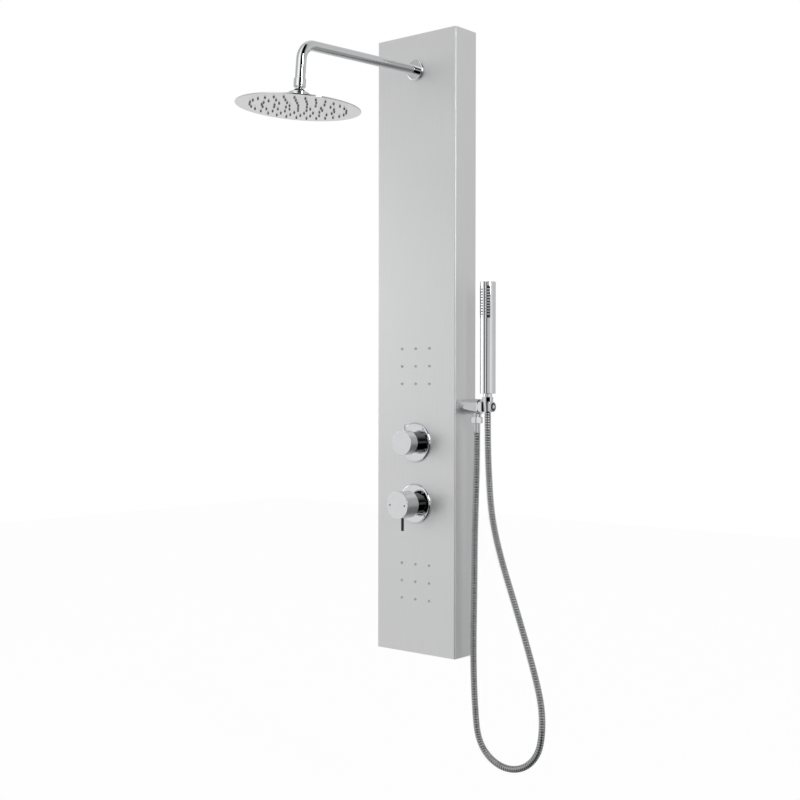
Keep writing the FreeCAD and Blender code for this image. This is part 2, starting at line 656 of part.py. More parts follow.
def make_mixer():
    """The mixer's fixed cartridge, the carrier that turns in it, and the lever that tilts."""
    z = MIXER_Z
    make_valve_trim("mixer", z)
    make_mixer_body()

    back = NECK_FRONT + CARTRIDGE_LENGTH
    carrier_back = STEM_PIVOT_Y + 6.0
    shoulder = NECK_FRONT + GAP
    cartridge = rod(CARTRIDGE_RADIUS - RUNNING, V(0, NECK_FRONT, z), V(0, back, z))
    room = rod(CARRIER_RADIUS + RUNNING, V(0, NECK_FRONT - OVERRUN, z), V(0, carrier_back + GAP, z))
    save("mixer_cartridge", cartridge.cut([room] + ways(MIXER_WAYS, z, carrier_back, back + OVERRUN)))

    carrier = rod(CARRIER_RADIUS, V(0, shoulder, z), V(0, carrier_back, z))
    carrier = carrier.fuse(rod(CARRIER_NOSE_RADIUS, V(0, SLEEVE_FRONT, z), V(0, shoulder, z)))
    half = STEM_SIDE / 2 + RUNNING
    lift = math.radians(MIXER_LIFT)
    raised = STEM_SIDE / 2 / math.cos(lift) + (STEM_PIVOT_Y - SLEEVE_FRONT) * math.tan(lift) + GAP
    slot = block((-half, half), (SLEEVE_FRONT - OVERRUN, carrier_back + OVERRUN),
                 (z - half - 1.5, z + raised))
    pivot_hole = rod(STEM_PIVOT_RADIUS + RUNNING, V(-CARRIER_RADIUS - 1, STEM_PIVOT_Y, z),
                     V(CARRIER_RADIUS + 1, STEM_PIVOT_Y, z))
    save("mixer_carrier", carrier.cut([slot, pivot_hole]))

    face = KNOB_BACK - MIXER_HANDLE_LENGTH
    stem_end = face + KNOB_FACE + 4
    half = STEM_SIDE / 2
    stem = block((-half, half), (stem_end, STEM_PIVOT_Y + 2), (z - half, z + half))
    stem = stem.fuse(rod(STEM_PIVOT_RADIUS, V(-CARRIER_RADIUS + 0.5, STEM_PIVOT_Y, z),
                         V(CARRIER_RADIUS - 0.5, STEM_PIVOT_Y, z)))
    stem = stem.fuse(rod(half, V(-half, STEM_PIVOT_Y + 2, z), V(half, STEM_PIVOT_Y + 2, z)))
    save("mixer_stem", stem)

    handle = knob(MIXER_HANDLE_RADIUS, MIXER_HANDLE_LENGTH, z)
    socket = half + RUNNING
    pin_y = face + LEVER_PIN_SET
    pin_top = z - MIXER_HANDLE_RADIUS + PIN_SEAT
    grub_y = KNOB_BACK - 7
    cuts = [block((-socket, socket), (stem_end, KNOB_BACK), (z - socket, z + socket)),
            rod(GRUB_RADIUS, V(0, grub_y, z - MIXER_HANDLE_RADIUS - OVERRUN), V(0, grub_y, z))]
    boss = rod(PIN_RADIUS + 2, V(0, pin_y, pin_top + 1.5), V(0, pin_y, z - MIXER_HANDLE_RADIUS + 1))
    cuts.append(rod(PIN_RADIUS + RUNNING, V(0, pin_y, pin_top),
                    V(0, pin_y, z - MIXER_HANDLE_RADIUS - OVERRUN)))
    for x in (-MARK_OFFSET, MARK_OFFSET):
        cuts.append(rod(MARK_RADIUS + RUNNING, V(x, face - OVERRUN, z), V(x, face + MARK_DEPTH, z)))
    save("mixer_handle", handle.fuse(boss).cut(cuts))

    marks = [rod(MARK_RADIUS, V(x, face, z), V(x, face + MARK_DEPTH, z))
             for x in (-MARK_OFFSET, MARK_OFFSET)]
    save("temperature_marks", *marks)
    pin = rod(PIN_RADIUS, V(0, pin_y, z - MIXER_HANDLE_RADIUS - LEVER_PIN_LENGTH), V(0, pin_y, pin_top))
    save("mixer_lever_pin", round_edges(pin, 0.8,
                                        lambda p: p.z < z - MIXER_HANDLE_RADIUS - LEVER_PIN_LENGTH + 0.1))
    grub = rod(GRUB_RADIUS - RUNNING, V(0, grub_y, z - KNOB_BOSS_RADIUS), V(0, grub_y, z - half))
    save("mixer_handle_screw", grub)


def make_diverter():
    """The diverter's fixed cartridge, the spindle that turns in it, and its knob with a pin."""
    z = DIVERTER_Z
    make_valve_trim("diverter", z)
    make_diverter_body()

    back = NECK_FRONT + CARTRIDGE_LENGTH
    face = KNOB_BACK - DIVERTER_KNOB_LENGTH
    spindle_end = face + KNOB_FACE + 3
    collar_front = NECK_FRONT + 6
    collar_back = collar_front + 5
    cartridge = rod(CARTRIDGE_RADIUS - RUNNING, V(0, NECK_FRONT, z), V(0, back, z))
    shaft_room = rod(SPINDLE_RADIUS + RUNNING, V(0, NECK_FRONT - OVERRUN, z), V(0, back - 6, z))
    collar_room = rod(SPINDLE_RADIUS + 3, V(0, collar_front - GAP, z), V(0, collar_back + GAP, z))
    water_ways = ways(DIVERTER_WAYS, z, collar_back + 4, back + OVERRUN) + jet_ways(z)
    save("diverter_cartridge", cartridge.cut([shaft_room, collar_room] + water_ways))

    spindle = rod(SPINDLE_RADIUS, V(0, spindle_end, z), V(0, back - 6 - GAP, z))
    collar = rod(SPINDLE_RADIUS + 3 - GAP, V(0, collar_front, z), V(0, collar_back, z))
    flat = block((-10, 10), (spindle_end - OVERRUN, KNOB_BACK - 3.5), (z + SPINDLE_RADIUS - 1.5, z + 10))
    save("diverter_spindle", spindle.fuse(collar).cut(flat))

    body = knob(DIVERTER_KNOB_RADIUS, DIVERTER_KNOB_LENGTH, z)
    bore = rod(SPINDLE_RADIUS + RUNNING, V(0, spindle_end, z), V(0, KNOB_BACK, z))
    bore = bore.cut(block((-10, 10), (spindle_end - OVERRUN, KNOB_BACK + OVERRUN),
                          (z + SPINDLE_RADIUS - 1.5 + RUNNING, z + 10)))
    pin_y = face + DIVERTER_PIN_SET
    pin_bottom = z + DIVERTER_KNOB_RADIUS - PIN_SEAT
    boss = rod(PIN_RADIUS + 2, V(0, pin_y, pin_bottom - 1.5), V(0, pin_y, z + DIVERTER_KNOB_RADIUS - 1))
    seat = rod(PIN_RADIUS + RUNNING, V(0, pin_y, pin_bottom),
               V(0, pin_y, z + DIVERTER_KNOB_RADIUS + OVERRUN))
    grub_y = KNOB_BACK - 7
    grub_hole = rod(GRUB_RADIUS, V(0, grub_y, z - DIVERTER_KNOB_RADIUS - OVERRUN), V(0, grub_y, z))
    save("diverter_knob", body.fuse(boss).cut([bore, seat, grub_hole]))

    pin = rod(PIN_RADIUS, V(0, pin_y, pin_bottom),
              V(0, pin_y, z + DIVERTER_KNOB_RADIUS + DIVERTER_PIN_LENGTH))
    pin_top = z + DIVERTER_KNOB_RADIUS + DIVERTER_PIN_LENGTH
    save("diverter_pin", round_edges(pin, 0.8, lambda p: p.z > pin_top - 0.1))
    grub = rod(GRUB_RADIUS - RUNNING, V(0, grub_y, z - KNOB_BOSS_RADIUS),
               V(0, grub_y, z - SPINDLE_RADIUS))
    save("diverter_knob_screw", grub)


# Body jets

def make_jets(group, centre_z, inlet_end):
    """A manifold box, the rubber mat of jets that it presses on the sheet, and its studs.
    inlet_end is 1 where the feed pipe comes from above and -1 where it comes from below."""
    mat_back = SHEET_BACK + MAT_THICK
    half = JET_MAT_SIDE / 2
    mat = block((-half, half), (SHEET_BACK, mat_back), (centre_z - half, centre_z + half))
    tips = []
    bores = []
    for x, z in jet_grid(centre_z):
        tips.append(rod(JET_TIP_RADIUS, V(x, FRONT - JET_REACH, z), V(x, mat_back - MAT_THICK / 2, z)))
        bores.append(rod(NOZZLE_BORE, V(x, FRONT - JET_REACH - OVERRUN, z), V(x, mat_back + OVERRUN, z)))
    save("jet_nozzle_mat_" + group, mat.fuse(tips).cut(bores))

    half = MANIFOLD_SIDE / 2
    back = mat_back + MANIFOLD_DEPTH
    box = block((-half, half), (mat_back, back), (centre_z - half, centre_z + half))
    corners = [(x, centre_z + z) for x in (-STUD_OFFSET, STUD_OFFSET)
               for z in (-STUD_OFFSET + 20, STUD_OFFSET - 20)]
    ear_back = mat_back + EAR_THICK
    for x, z in corners:
        inner = math.copysign(half - 1, x)
        box = box.fuse(rod(EAR_RADIUS, V(x, mat_back, z), V(x, ear_back, z)))
        box = box.fuse(block(sorted((inner, x)), (mat_back, ear_back), (z - EAR_RADIUS, z + EAR_RADIUS)))
    room = half - MANIFOLD_WALL
    box = box.cut(block((-room, room), (mat_back - OVERRUN, back - MANIFOLD_WALL),
                        (centre_z - room, centre_z + room)))
    mouth = V(JET_PIPE_X, JET_PIPE_Y, centre_z + inlet_end * (half + PORT_REACH))
    box = port(box, mouth, V(0, 0, -inlet_end), JET_PIPE_RADIUS)
    box = box.cut([rod(STUD_RADIUS + RUNNING, V(x, mat_back - OVERRUN, z), V(x, back, z)) for x,
                   z in corners])
    save("jet_manifold_" + group, box)
    return corners


def make_studs(corners):
    mat_back = SHEET_BACK + MAT_THICK
    nut_front = mat_back + EAR_THICK
    studs = [rod(STUD_RADIUS, V(x, SHEET_BACK, z), V(x, nut_front + 2 * STUD_NUT_HEIGHT, z)) for x,
             z in corners]
    nuts = []
    for x, z in corners:
        nut = hex_bar(STUD_NUT_FLATS, V(x, nut_front, z), V(x, nut_front + STUD_NUT_HEIGHT, z))
        nuts.append(nut.cut(rod(STUD_RADIUS + RUNNING, V(x, nut_front - 1, z),
                                V(x, nut_front + STUD_NUT_HEIGHT + 1, z))))
    save("manifold_studs", *studs)
    save("manifold_nuts", *nuts)


# Pipework

def make_pipework():
    seat = VALVE_BODY_RADIUS
    elbow_seat = ARM_Z - ELBOW_RADIUS
    riser = pipe(RISER_RADIUS, RISER_RADIUS - PIPE_WALL, V(0, RISER_Y, DIVERTER_Z + seat),
                 V(0, RISER_Y, elbow_seat))
    save("riser_pipe", riser)
    link = pipe(RISER_RADIUS, RISER_RADIUS - PIPE_WALL, V(0, RISER_Y, MIXER_Z + seat),
                V(0, RISER_Y, DIVERTER_Z - seat))
    save("mixed_water_pipe", link)

    feeds = (("upper", UPPER_JETS_Z, 1), ("lower", LOWER_JETS_Z, -1))
    for group, centre_z, side in feeds:
        z = DIVERTER_Z + side * JET_PORT_OFFSET
        end = centre_z - side * MANIFOLD_SIDE / 2
        points = [V(-seat, JET_PIPE_Y, z), V(JET_PIPE_X, JET_PIPE_Y, z), V(JET_PIPE_X, JET_PIPE_Y, end)]
        save("jet_pipe_" + group, bent_pipe(points, JET_PIPE_RADIUS, PIPE_WALL, (12.0,)))

    union_back = SIDE_INNER - UNION_LENGTH
    points = [V(seat, HOLDER_Y, DIVERTER_Z), V(OUTLET_PIPE_X, HOLDER_Y, DIVERTER_Z),
              V(OUTLET_PIPE_X, HOLDER_Y, HOLDER_Z), V(union_back + PORT_REACH - 1, HOLDER_Y, HOLDER_Z)]
    save("hand_outlet_pipe", bent_pipe(points, RISER_RADIUS, PIPE_WALL, (PIPE_BEND, PIPE_BEND)))

    pipe_seat = union_back + PORT_REACH - 1
    union = hex_bar(2 * UNION_RADIUS, V(union_back, HOLDER_Y, HOLDER_Z),
                    V(SIDE_INNER, HOLDER_Y, HOLDER_Z))
    spigot_end = SIDE + OUTLET_SPIGOT_REACH
    union = union.fuse(rod(OUTLET_SPIGOT_RADIUS, V(SIDE_INNER - 1, HOLDER_Y, HOLDER_Z),
                           V(spigot_end, HOLDER_Y, HOLDER_Z)))
    union = union.cut(rod(RISER_RADIUS + RUNNING, V(union_back - 1, HOLDER_Y, HOLDER_Z),
                          V(pipe_seat, HOLDER_Y, HOLDER_Z)))
    union = union.cut(rod(HOLDER_BORE, V(pipe_seat, HOLDER_Y, HOLDER_Z),
                          V(spigot_end + 1, HOLDER_Y, HOLDER_Z)))
    save("hand_outlet_union", union)


def make_inlets():
    """Hot on the left and cold on the right: a leg from the mixer, then a threaded nipple."""
    for name, side in (("hot_inlet_leg", -1), ("cold_inlet_leg", 1)):
        start = V(side * VALVE_BODY_RADIUS, INLET_Y, MIXER_Z)
        x = side * INLET_SPACING / 2
        corner = V(x, INLET_Y, MIXER_Z)
        shoulder = V(x, INLET_SHOULDER, MIXER_Z)
        end = V(x, INLET_END, MIXER_Z)
        leg = rod(INLET_RADIUS, start, corner)
        leg = leg.fuse(rod(INLET_ELBOW_RADIUS, corner - Y_AXIS * INLET_ELBOW_RADIUS, shoulder))
        leg = leg.fuse(rod(NIPPLE_RADIUS, corner, end))
        leg = leg.cut(rod(INLET_RADIUS - 2, start - X_AXIS * side, corner))
        leg = leg.cut(rod(NIPPLE_BORE, corner, end + Y_AXIS * OVERRUN))
        save(name, leg)


# Holder, hose and hand shower

def make_holder_body():
    """The fixed half of the holder, which also brings the water to the hose."""
    axis_start = V(SIDE, HOLDER_Y, HOLDER_Z)
    axis_end = V(HOLDER_END, HOLDER_Y, HOLDER_Z)
    body = rod(HOLDER_RADIUS, axis_start, axis_end)
    body = body.makeChamfer(3.0, [e for e in body.Edges if abs(e.BoundBox.XMin - HOLDER_END) < 0.1])
    front = HOLDER_Y - HOLDER_RADIUS
    flat_start = SIDE + HOLDER_FLAT_START
    outline = [(flat_start, front), (flat_start + HOLDER_FLAT_RAMP, front + HOLDER_FLAT_DEPTH),
               (HOLDER_END + OVERRUN, front + HOLDER_FLAT_DEPTH), (HOLDER_END + OVERRUN, front - OVERRUN),
               (flat_start, front - OVERRUN), (flat_start, front)]
    mill = Part.makePolygon([V(x, y, HOLDER_Z - HOLDER_RADIUS) for x, y in outline])
    mill = Part.Face(mill).extrude(Z_AXIS * 2 * HOLDER_RADIUS)
    stub = rod(NIPPLE_HOSE_RADIUS, V(HOSE_OUTLET_X, HOLDER_Y, HOLDER_Z),
               V(HOSE_OUTLET_X, HOLDER_Y, HEX_NUT_TOP - 7))
    body = body.cut(mill).fuse(stub)
    cuts = [rod(OUTLET_SPIGOT_RADIUS + RUNNING, V(SIDE - 1, HOLDER_Y, HOLDER_Z),
                V(SIDE + OUTLET_SPIGOT_REACH, HOLDER_Y, HOLDER_Z)),
            rod(HOLDER_BORE, V(SIDE + OUTLET_SPIGOT_REACH, HOLDER_Y, HOLDER_Z),
                V(HOSE_OUTLET_X, HOLDER_Y, HOLDER_Z)),
            rod(HOLDER_BORE, V(HOSE_OUTLET_X, HOLDER_Y, HOLDER_Z),
                V(HOSE_OUTLET_X, HOLDER_Y, HEX_NUT_TOP - 8)),
            Part.makeSphere(HOLDER_BORE, V(HOSE_OUTLET_X, HOLDER_Y, HOLDER_Z)),
            rod(CLIP_SPIGOT_RADIUS + RUNNING,
                V(HOLDER_END - CLIP_SPIGOT_LENGTH - GAP, HOLDER_Y, HOLDER_Z), axis_end + X_AXIS)]
    save("holder_body", body.cut(cuts))


def cone_radius(z):
    """The hose cone's radius at a height."""
    share = (z - CONE_BOTTOM) / (CONE_TOP - CONE_BOTTOM)
    return CONE_BOTTOM_RADIUS + share * (CONE_TOP_RADIUS - CONE_BOTTOM_RADIUS)


def make_holder_clip():
    """The half that tilts: a slotted cup for the hose cone, on a spigot in the fixed half."""
    top = CONE_SEAT
    bottom = top - CLIP_HEIGHT
    axis = V(HANDSET_X, HOLDER_Y, 0)
    pivot = V(HANDSET_X, HOLDER_Y, HOLDER_Z)
    cup = rod(CLIP_RADIUS, axis + Z_AXIS * bottom, axis + Z_AXIS * top)
    neck = block((HOLDER_END + GAP, HANDSET_X), (HOLDER_Y - CLIP_RADIUS, HOLDER_Y + CLIP_RADIUS),
                 (bottom, top))
    cup = cup.fuse(neck).removeSplitter()
    cup = round_edges(cup, CLIP_ROUND, lambda p: abs(p.z - top) < 0.1 or abs(p.z - bottom) < 0.1)
    cap_start = HANDSET_X + CLIP_RADIUS
    boss = rod(CLIP_BOSS_RADIUS, pivot, V(cap_start, HOLDER_Y, HOLDER_Z))
    spigot = rod(CLIP_SPIGOT_RADIUS, V(HOLDER_END - CLIP_SPIGOT_LENGTH, HOLDER_Y, HOLDER_Z), pivot)
    low = bottom - OVERRUN
    high = top + OVERRUN
    bore = taper(cone_radius(low) + GAP, cone_radius(high) + GAP, axis + Z_AXIS * low,
                 axis + Z_AXIS * high)
    slot = block((HANDSET_X - CLIP_SLOT / 2, HANDSET_X + CLIP_SLOT / 2),
                 (HOLDER_Y - 2 * CLIP_RADIUS, HOLDER_Y), (low, high))
    save("holder_clip", cup.fuse([boss, spigot]).cut([bore, slot]))

    cap = rod(END_CAP_RADIUS, V(cap_start, HOLDER_Y, HOLDER_Z),
              V(cap_start + END_CAP_LENGTH, HOLDER_Y, HOLDER_Z))
    save("holder_end_cap", round_edges(cap, CLIP_ROUND / 2,
                                       lambda p: p.x > cap_start + END_CAP_LENGTH - 0.1))


def make_hose_ends():
    """The nut and tail at the outlet, and the cone nut and tail at the hand shower."""
    outlet = V(HOSE_OUTLET_X, HOLDER_Y, 0)
    nipple_end = HEX_NUT_TOP - 7
    nut_bottom = HEX_NUT_TOP - HEX_NUT_HEIGHT
    nut = hex_bar(HEX_NUT_FLATS, outlet + Z_AXIS * nut_bottom, outlet + Z_AXIS * HEX_NUT_TOP, HEX_NUT_TURN)
    blank_radius = HEX_NUT_FLATS / 2 + 1.2
    blank = rod(blank_radius, outlet + Z_AXIS * nut_bottom, outlet + Z_AXIS * HEX_NUT_TOP)
    blank = blank.makeChamfer(1.5, [e for e in blank.Edges if e.Closed])
    save_hose_nut("hose_outlet_nut", nut.common(blank), outlet, HEX_NUT_TOP, nipple_end, nut_bottom)
    save_tail("outlet", outlet, nipple_end, FERRULE_END)

    handset = V(HANDSET_X, HOLDER_Y, 0)
    cone = taper(CONE_BOTTOM_RADIUS, CONE_TOP_RADIUS, handset + Z_AXIS * CONE_BOTTOM,
                 handset + Z_AXIS * CONE_TOP)
    save_hose_nut("hose_cone_nut", cone, handset, CONE_TOP, CONE_SEAT, CONE_BOTTOM)
    save_tail("handset", handset, CONE_SEAT, CONE_BOTTOM)


def save_hose_nut(name, blank, centre, top, nipple_end, bottom):
    flange_bottom = nipple_end - TAIL_FLANGE_THICK
    thread = rod(NIPPLE_HOSE_RADIUS + RUNNING, centre + Z_AXIS * flange_bottom,
                 centre + Z_AXIS * (top + OVERRUN))
    passage = rod(TAIL_RADIUS + RUNNING, centre + Z_AXIS * (bottom - OVERRUN), centre + Z_AXIS * top)
    save(name, blank.cut([thread, passage]))


def save_tail(name, centre, flange_top, end):
    flange = rod(TAIL_FLANGE_RADIUS, centre + Z_AXIS * (flange_top - TAIL_FLANGE_THICK),
                 centre + Z_AXIS * flange_top)
    tail = flange.fuse(rod(TAIL_RADIUS, centre + Z_AXIS * end, centre + Z_AXIS * flange_top))
    bore = rod(TAIL_BORE, centre + Z_AXIS * (end - OVERRUN), centre + Z_AXIS * (flange_top + OVERRUN))
    save("hose_tail_" + name, tail.cut(bore))


def make_hose():
    points = [V(x, HOLDER_Y, z) for x, z in HOSE_ROUTE]
    wire, radii = route_wire(points, None)
    hose = sweep(wire, HOSE_RADIUS)
    expected = math.pi * HOSE_RADIUS ** 2 * wire.Length
    print("hose length %.0f mm, volume over section times length %.4f" % (wire.Length,
                                                                          hose.Volume / expected))
    print("hose bend radii " + " ".join("%.0f" % r for r in radii))
    save("hose", hose)


def make_handset():
    """A tube with a curved spray plate let into its front and a threaded tail below."""
    axis = V(HANDSET_X, HOLDER_Y, 0)
    low = axis + Z_AXIS * HANDSET_BOTTOM
    high = axis + Z_AXIS * HANDSET_TOP
    body = rod(HANDSET_RADIUS, low, high)
    body = body.makeFillet(0.8, [e for e in body.Edges if e.Closed])
    inner = HANDSET_RADIUS - HANDSET_WALL
    body = body.cut(rod(inner, low + Z_AXIS * 4, high - Z_AXIS * 4))
    tail = rod(NIPPLE_HOSE_RADIUS, axis + Z_AXIS * CONE_SEAT, low + Z_AXIS * 1)
    bore = rod(TAIL_BORE, axis + Z_AXIS * (CONE_SEAT - OVERRUN), low + Z_AXIS * 5)
    window = spray_sector(inner - OVERRUN, HANDSET_RADIUS + OVERRUN, SPRAY_BOTTOM, SPRAY_HEIGHT,
                          SPRAY_HALF_ANGLE)
    save("handset_body", body.fuse(tail).cut([bore, window]))
    make_spray_face(axis, inner)


def make_spray_face(axis, inner):
    """A plate with two columns of jets in front, and a ribbed strip of the mat on each side."""
    plate_inner = HANDSET_RADIUS - SPRAY_THICK
    face = HANDSET_RADIUS + SPRAY_PROUD
    bottom = SPRAY_BOTTOM + SPRAY_EDGE_GAP
    height = SPRAY_HEIGHT - 2 * SPRAY_EDGE_GAP
    plate = spray_sector(plate_inner, face, bottom, height, SPRAY_PLATE_HALF_ANGLE)
    mat = [spray_sector(inner - 2, plate_inner, bottom, height, SPRAY_HALF_ANGLE - 0.4)]
    for turn in (-SPRAY_STRIP_ANGLE, SPRAY_STRIP_ANGLE):
        mat.append(spray_sector(plate_inner - 0.5, HANDSET_RADIUS, bottom, height,
                                SPRAY_STRIP_HALF_ANGLE, turn))
    first = SPRAY_BOTTOM + (SPRAY_HEIGHT - (SPRAY_ROWS - 1) * SPRAY_ROW_PITCH) / 2
    holes = []
    ribs = []
    for row in range(SPRAY_ROWS):
        rise = first + row * SPRAY_ROW_PITCH
        for angle in (-SPRAY_COLUMN_ANGLE, SPRAY_COLUMN_ANGLE):
            out = FreeCAD.Rotation(Z_AXIS, angle).multVec(V(0, -1, 0))
            place = axis + Z_AXIS * rise
            mat.append(rod(SPRAY_NOZZLE_RADIUS, place + out * (plate_inner - 0.6),
                           place + out * (face + SPRAY_NOZZLE_REACH)))
            holes.append(rod(SPRAY_NOZZLE_RADIUS + RUNNING, place + out * (plate_inner - 2),
                             place + out * (face + 1)))
        for turn in (-SPRAY_STRIP_ANGLE, SPRAY_STRIP_ANGLE):
            ribs.append(spray_sector(HANDSET_RADIUS - RIB_SEAT, HANDSET_RADIUS + RIB_REACH,
                                     rise - RIB_HEIGHT / 2, RIB_HEIGHT, RIB_HALF_ANGLE, turn))
    save("handset_spray_plate", plate.cut(holes))
    save("handset_nozzle_mat", mat[0].fuse(mat[1:]).cut(ribs))
    save("handset_side_ribs", *ribs)


def spray_sector(inner, outer, bottom, height, half_angle, turn=0.0):
    """Part of a ring about the handset's axis, facing the front or turned from it."""
    base = V(HANDSET_X, HOLDER_Y, bottom)
    sector = Part.makeCylinder(outer, height, base, Z_AXIS, 2 * half_angle)
    sector.rotate(base, Z_AXIS, turn - 90 - half_angle)
    return sector.cut(Part.makeCylinder(inner, height + 2 * OVERRUN, base - Z_AXIS * OVERRUN))


def main():
    os.makedirs("parts", exist_ok=True)
    make_panel_shell()
    make_end_tray("top_end_tray", 1)
    make_end_tray("bottom_end_tray", -1)
    for name, z in (("upper", HANGER_Z), ("lower", -HANGER_Z)):
        make_wall_bracket("wall_bracket_" + name, z)
        make_hanger_bar("hanger_bar_" + name, z)
    make_arm()
    make_ball_joint()
    make_rain_head()
    make_mixer()
    make_diverter()
    corners = make_jets("upper", UPPER_JETS_Z, -1) + make_jets("lower", LOWER_JETS_Z, 1)
    make_studs(corners)
    make_pipework()
    make_inlets()
    make_holder_body()
    make_holder_clip()
    make_hose_ends()
    make_hose()
    make_handset()


main()
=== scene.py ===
"""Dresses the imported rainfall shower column: metal, rubber and plastic finishes for its pieces,
a wound steel hose, a domed cap on the holder, and a plain studio round it."""
import json
import math

import bmesh
import bpy
import numpy as np
from mathutils import Matrix, Vector

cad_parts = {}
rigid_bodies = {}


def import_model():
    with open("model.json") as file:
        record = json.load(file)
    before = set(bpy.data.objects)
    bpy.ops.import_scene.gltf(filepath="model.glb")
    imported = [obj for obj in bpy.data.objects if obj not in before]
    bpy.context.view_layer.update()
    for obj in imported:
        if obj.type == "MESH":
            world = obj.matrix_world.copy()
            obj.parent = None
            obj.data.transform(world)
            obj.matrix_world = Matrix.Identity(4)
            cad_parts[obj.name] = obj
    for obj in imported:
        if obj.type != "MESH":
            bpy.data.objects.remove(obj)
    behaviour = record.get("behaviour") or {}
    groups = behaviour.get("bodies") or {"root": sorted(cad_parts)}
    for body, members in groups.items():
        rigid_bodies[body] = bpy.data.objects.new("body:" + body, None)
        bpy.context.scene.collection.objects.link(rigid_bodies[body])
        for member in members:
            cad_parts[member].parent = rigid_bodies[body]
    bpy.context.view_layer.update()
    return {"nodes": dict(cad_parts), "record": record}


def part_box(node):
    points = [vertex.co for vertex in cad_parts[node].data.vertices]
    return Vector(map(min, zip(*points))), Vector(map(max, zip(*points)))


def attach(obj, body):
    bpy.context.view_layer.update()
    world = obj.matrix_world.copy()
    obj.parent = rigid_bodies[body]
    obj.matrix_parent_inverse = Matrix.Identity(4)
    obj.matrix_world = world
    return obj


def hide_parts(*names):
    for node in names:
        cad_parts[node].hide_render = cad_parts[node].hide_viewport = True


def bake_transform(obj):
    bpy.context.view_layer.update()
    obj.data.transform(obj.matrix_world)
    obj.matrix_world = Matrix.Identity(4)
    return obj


bl_info = {
    "name": "Rainfall Shower Column",
    "version": (1, 0, 0),
    "blender": (4, 5, 0),
    "location": "3D View > Sidebar > Shower",
    "description": "Finishes, hose and studio for the rainfall shower column",
    "category": "Object",
}

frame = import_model()
NODES = frame["nodes"]

MM = 0.001

# The hose runs from the holder's outlet to the hand shower's cone, in the holder's plane, which is
# square to the y axis. Its points are (x, z).
HOLDER_PLANE = -0.037
HOSE_ROUTE = (
    (0.1363, -0.1820), (0.1363, -0.2500), (0.1312, -0.3820), (0.1300, -0.5100), (0.1280, -0.6120),
    (0.1290, -0.6900), (0.1330, -0.7560), (0.1398, -0.8128), (0.1677, -0.8485), (0.2103, -0.8640),
    (0.2546, -0.8546), (0.2872, -0.8231), (0.2982, -0.7791), (0.2970, -0.7220), (0.2780, -0.6550),
    (0.2400, -0.5490), (0.1960, -0.4360), (0.1730, -0.3520), (0.1660, -0.2620), (0.1635, -0.2000),
    (0.1635, -0.1410))
# The rising leg of the hose is cut into its own stretch between these heights.
SWING_START_Z = -0.345
SWING_END_Z = -0.232


# ---------------------------------------------------------------- settings

class ColumnSizes(bpy.types.PropertyGroup):
    hose_diameter: bpy.props.FloatProperty(
        name="Hose diameter", description="Outside diameter of the wound hose",
        default=0.014, min=0.008, max=0.02, unit="LENGTH")
    hose_pitch: bpy.props.FloatProperty(
        name="Hose pitch", description="Length of one turn of the hose's steel strip",
        default=0.0052, min=0.003, max=0.01, unit="LENGTH")
    hose_groove: bpy.props.FloatProperty(
        name="Groove depth", description="Depth of the groove between two turns",
        default=0.0016, min=0.0002, max=0.002, unit="LENGTH")
    cap_rise: bpy.props.FloatProperty(
        name="Cap rise", description="Height of the dome on the holder's end cap",
        default=0.0018, min=0.0002, max=0.0021, unit="LENGTH")


class ColumnFinish(bpy.types.PropertyGroup):
    steel: bpy.props.FloatVectorProperty(
        name="Steel", description="Colour of the brushed steel panel",
        default=(0.82, 0.823, 0.826), subtype="COLOR", min=0, max=1)
    chrome: bpy.props.FloatVectorProperty(
        name="Chrome", description="Colour of the chrome plate",
        default=(0.80, 0.81, 0.82), subtype="COLOR", min=0, max=1)
    backdrop: bpy.props.FloatVectorProperty(
        name="Backdrop", description="Colour of the floor",
        default=(0.95, 0.95, 0.95), subtype="COLOR", min=0, max=1)
    key_power: bpy.props.FloatProperty(
        name="Key light", description="Power of the large light on the left",
        default=5.6, min=0, max=500, unit="POWER")
    side_power: bpy.props.FloatProperty(
        name="Side light", description="Power of the tall light on the right",
        default=15.0, min=0, max=500, unit="POWER")
    room_light: bpy.props.FloatProperty(
        name="Room light", description="Strength of the even light from all round",
        default=0.55, min=0, max=2, subtype="FACTOR")


# ---------------------------------------------------------------- materials

def new_material(name):
    """A node material, with its shader and a reader of object coordinates."""
    made = bpy.data.materials.new(name)
    made.use_nodes = True
    nodes = made.node_tree.nodes
    shader = nodes["Principled BSDF"]
    place = nodes.new("ShaderNodeTexCoord")
    return made, shader, place.outputs["Object"]


def add_node(material, kind, **inputs):
    node = material.node_tree.nodes.new(kind)
    for key, value in inputs.items():
        node.inputs[key.replace("_", " ")].default_value = value
    return node


def join(material, start, end):
    material.node_tree.links.new(start, end)


def stretched_noise(material, coordinates, scale, grain, detail=3.0, roughness=0.6):
    """Noise whose pattern is stretched by a different amount along each axis."""
    mapping = add_node(material, "ShaderNodeMapping", Scale=grain)
    join(material, coordinates, mapping.inputs["Vector"])
    noise = add_node(material, "ShaderNodeTexNoise", Scale=scale, Detail=detail, Roughness=roughness)
    join(material, mapping.outputs["Vector"], noise.inputs["Vector"])
    return noise.outputs["Fac"]


def spread(material, factor, low, high):
    """The factor carried from 0..1 to low..high."""
    node = add_node(material, "ShaderNodeMapRange", To_Min=low, To_Max=high)
    join(material, factor, node.inputs["Value"])
    return node.outputs["Result"]


def tint(material, factor, dark, light):
    """A colour between two, by the factor."""
    ramp = material.node_tree.nodes.new("ShaderNodeValToRGB")
    ramp.color_ramp.elements[0].position = 0.3
    ramp.color_ramp.elements[1].position = 0.7
    ramp.color_ramp.elements[0].color = (*dark, 1)
    ramp.color_ramp.elements[1].color = (*light, 1)
    join(material, factor, ramp.inputs["Fac"])
    return ramp.outputs["Color"]


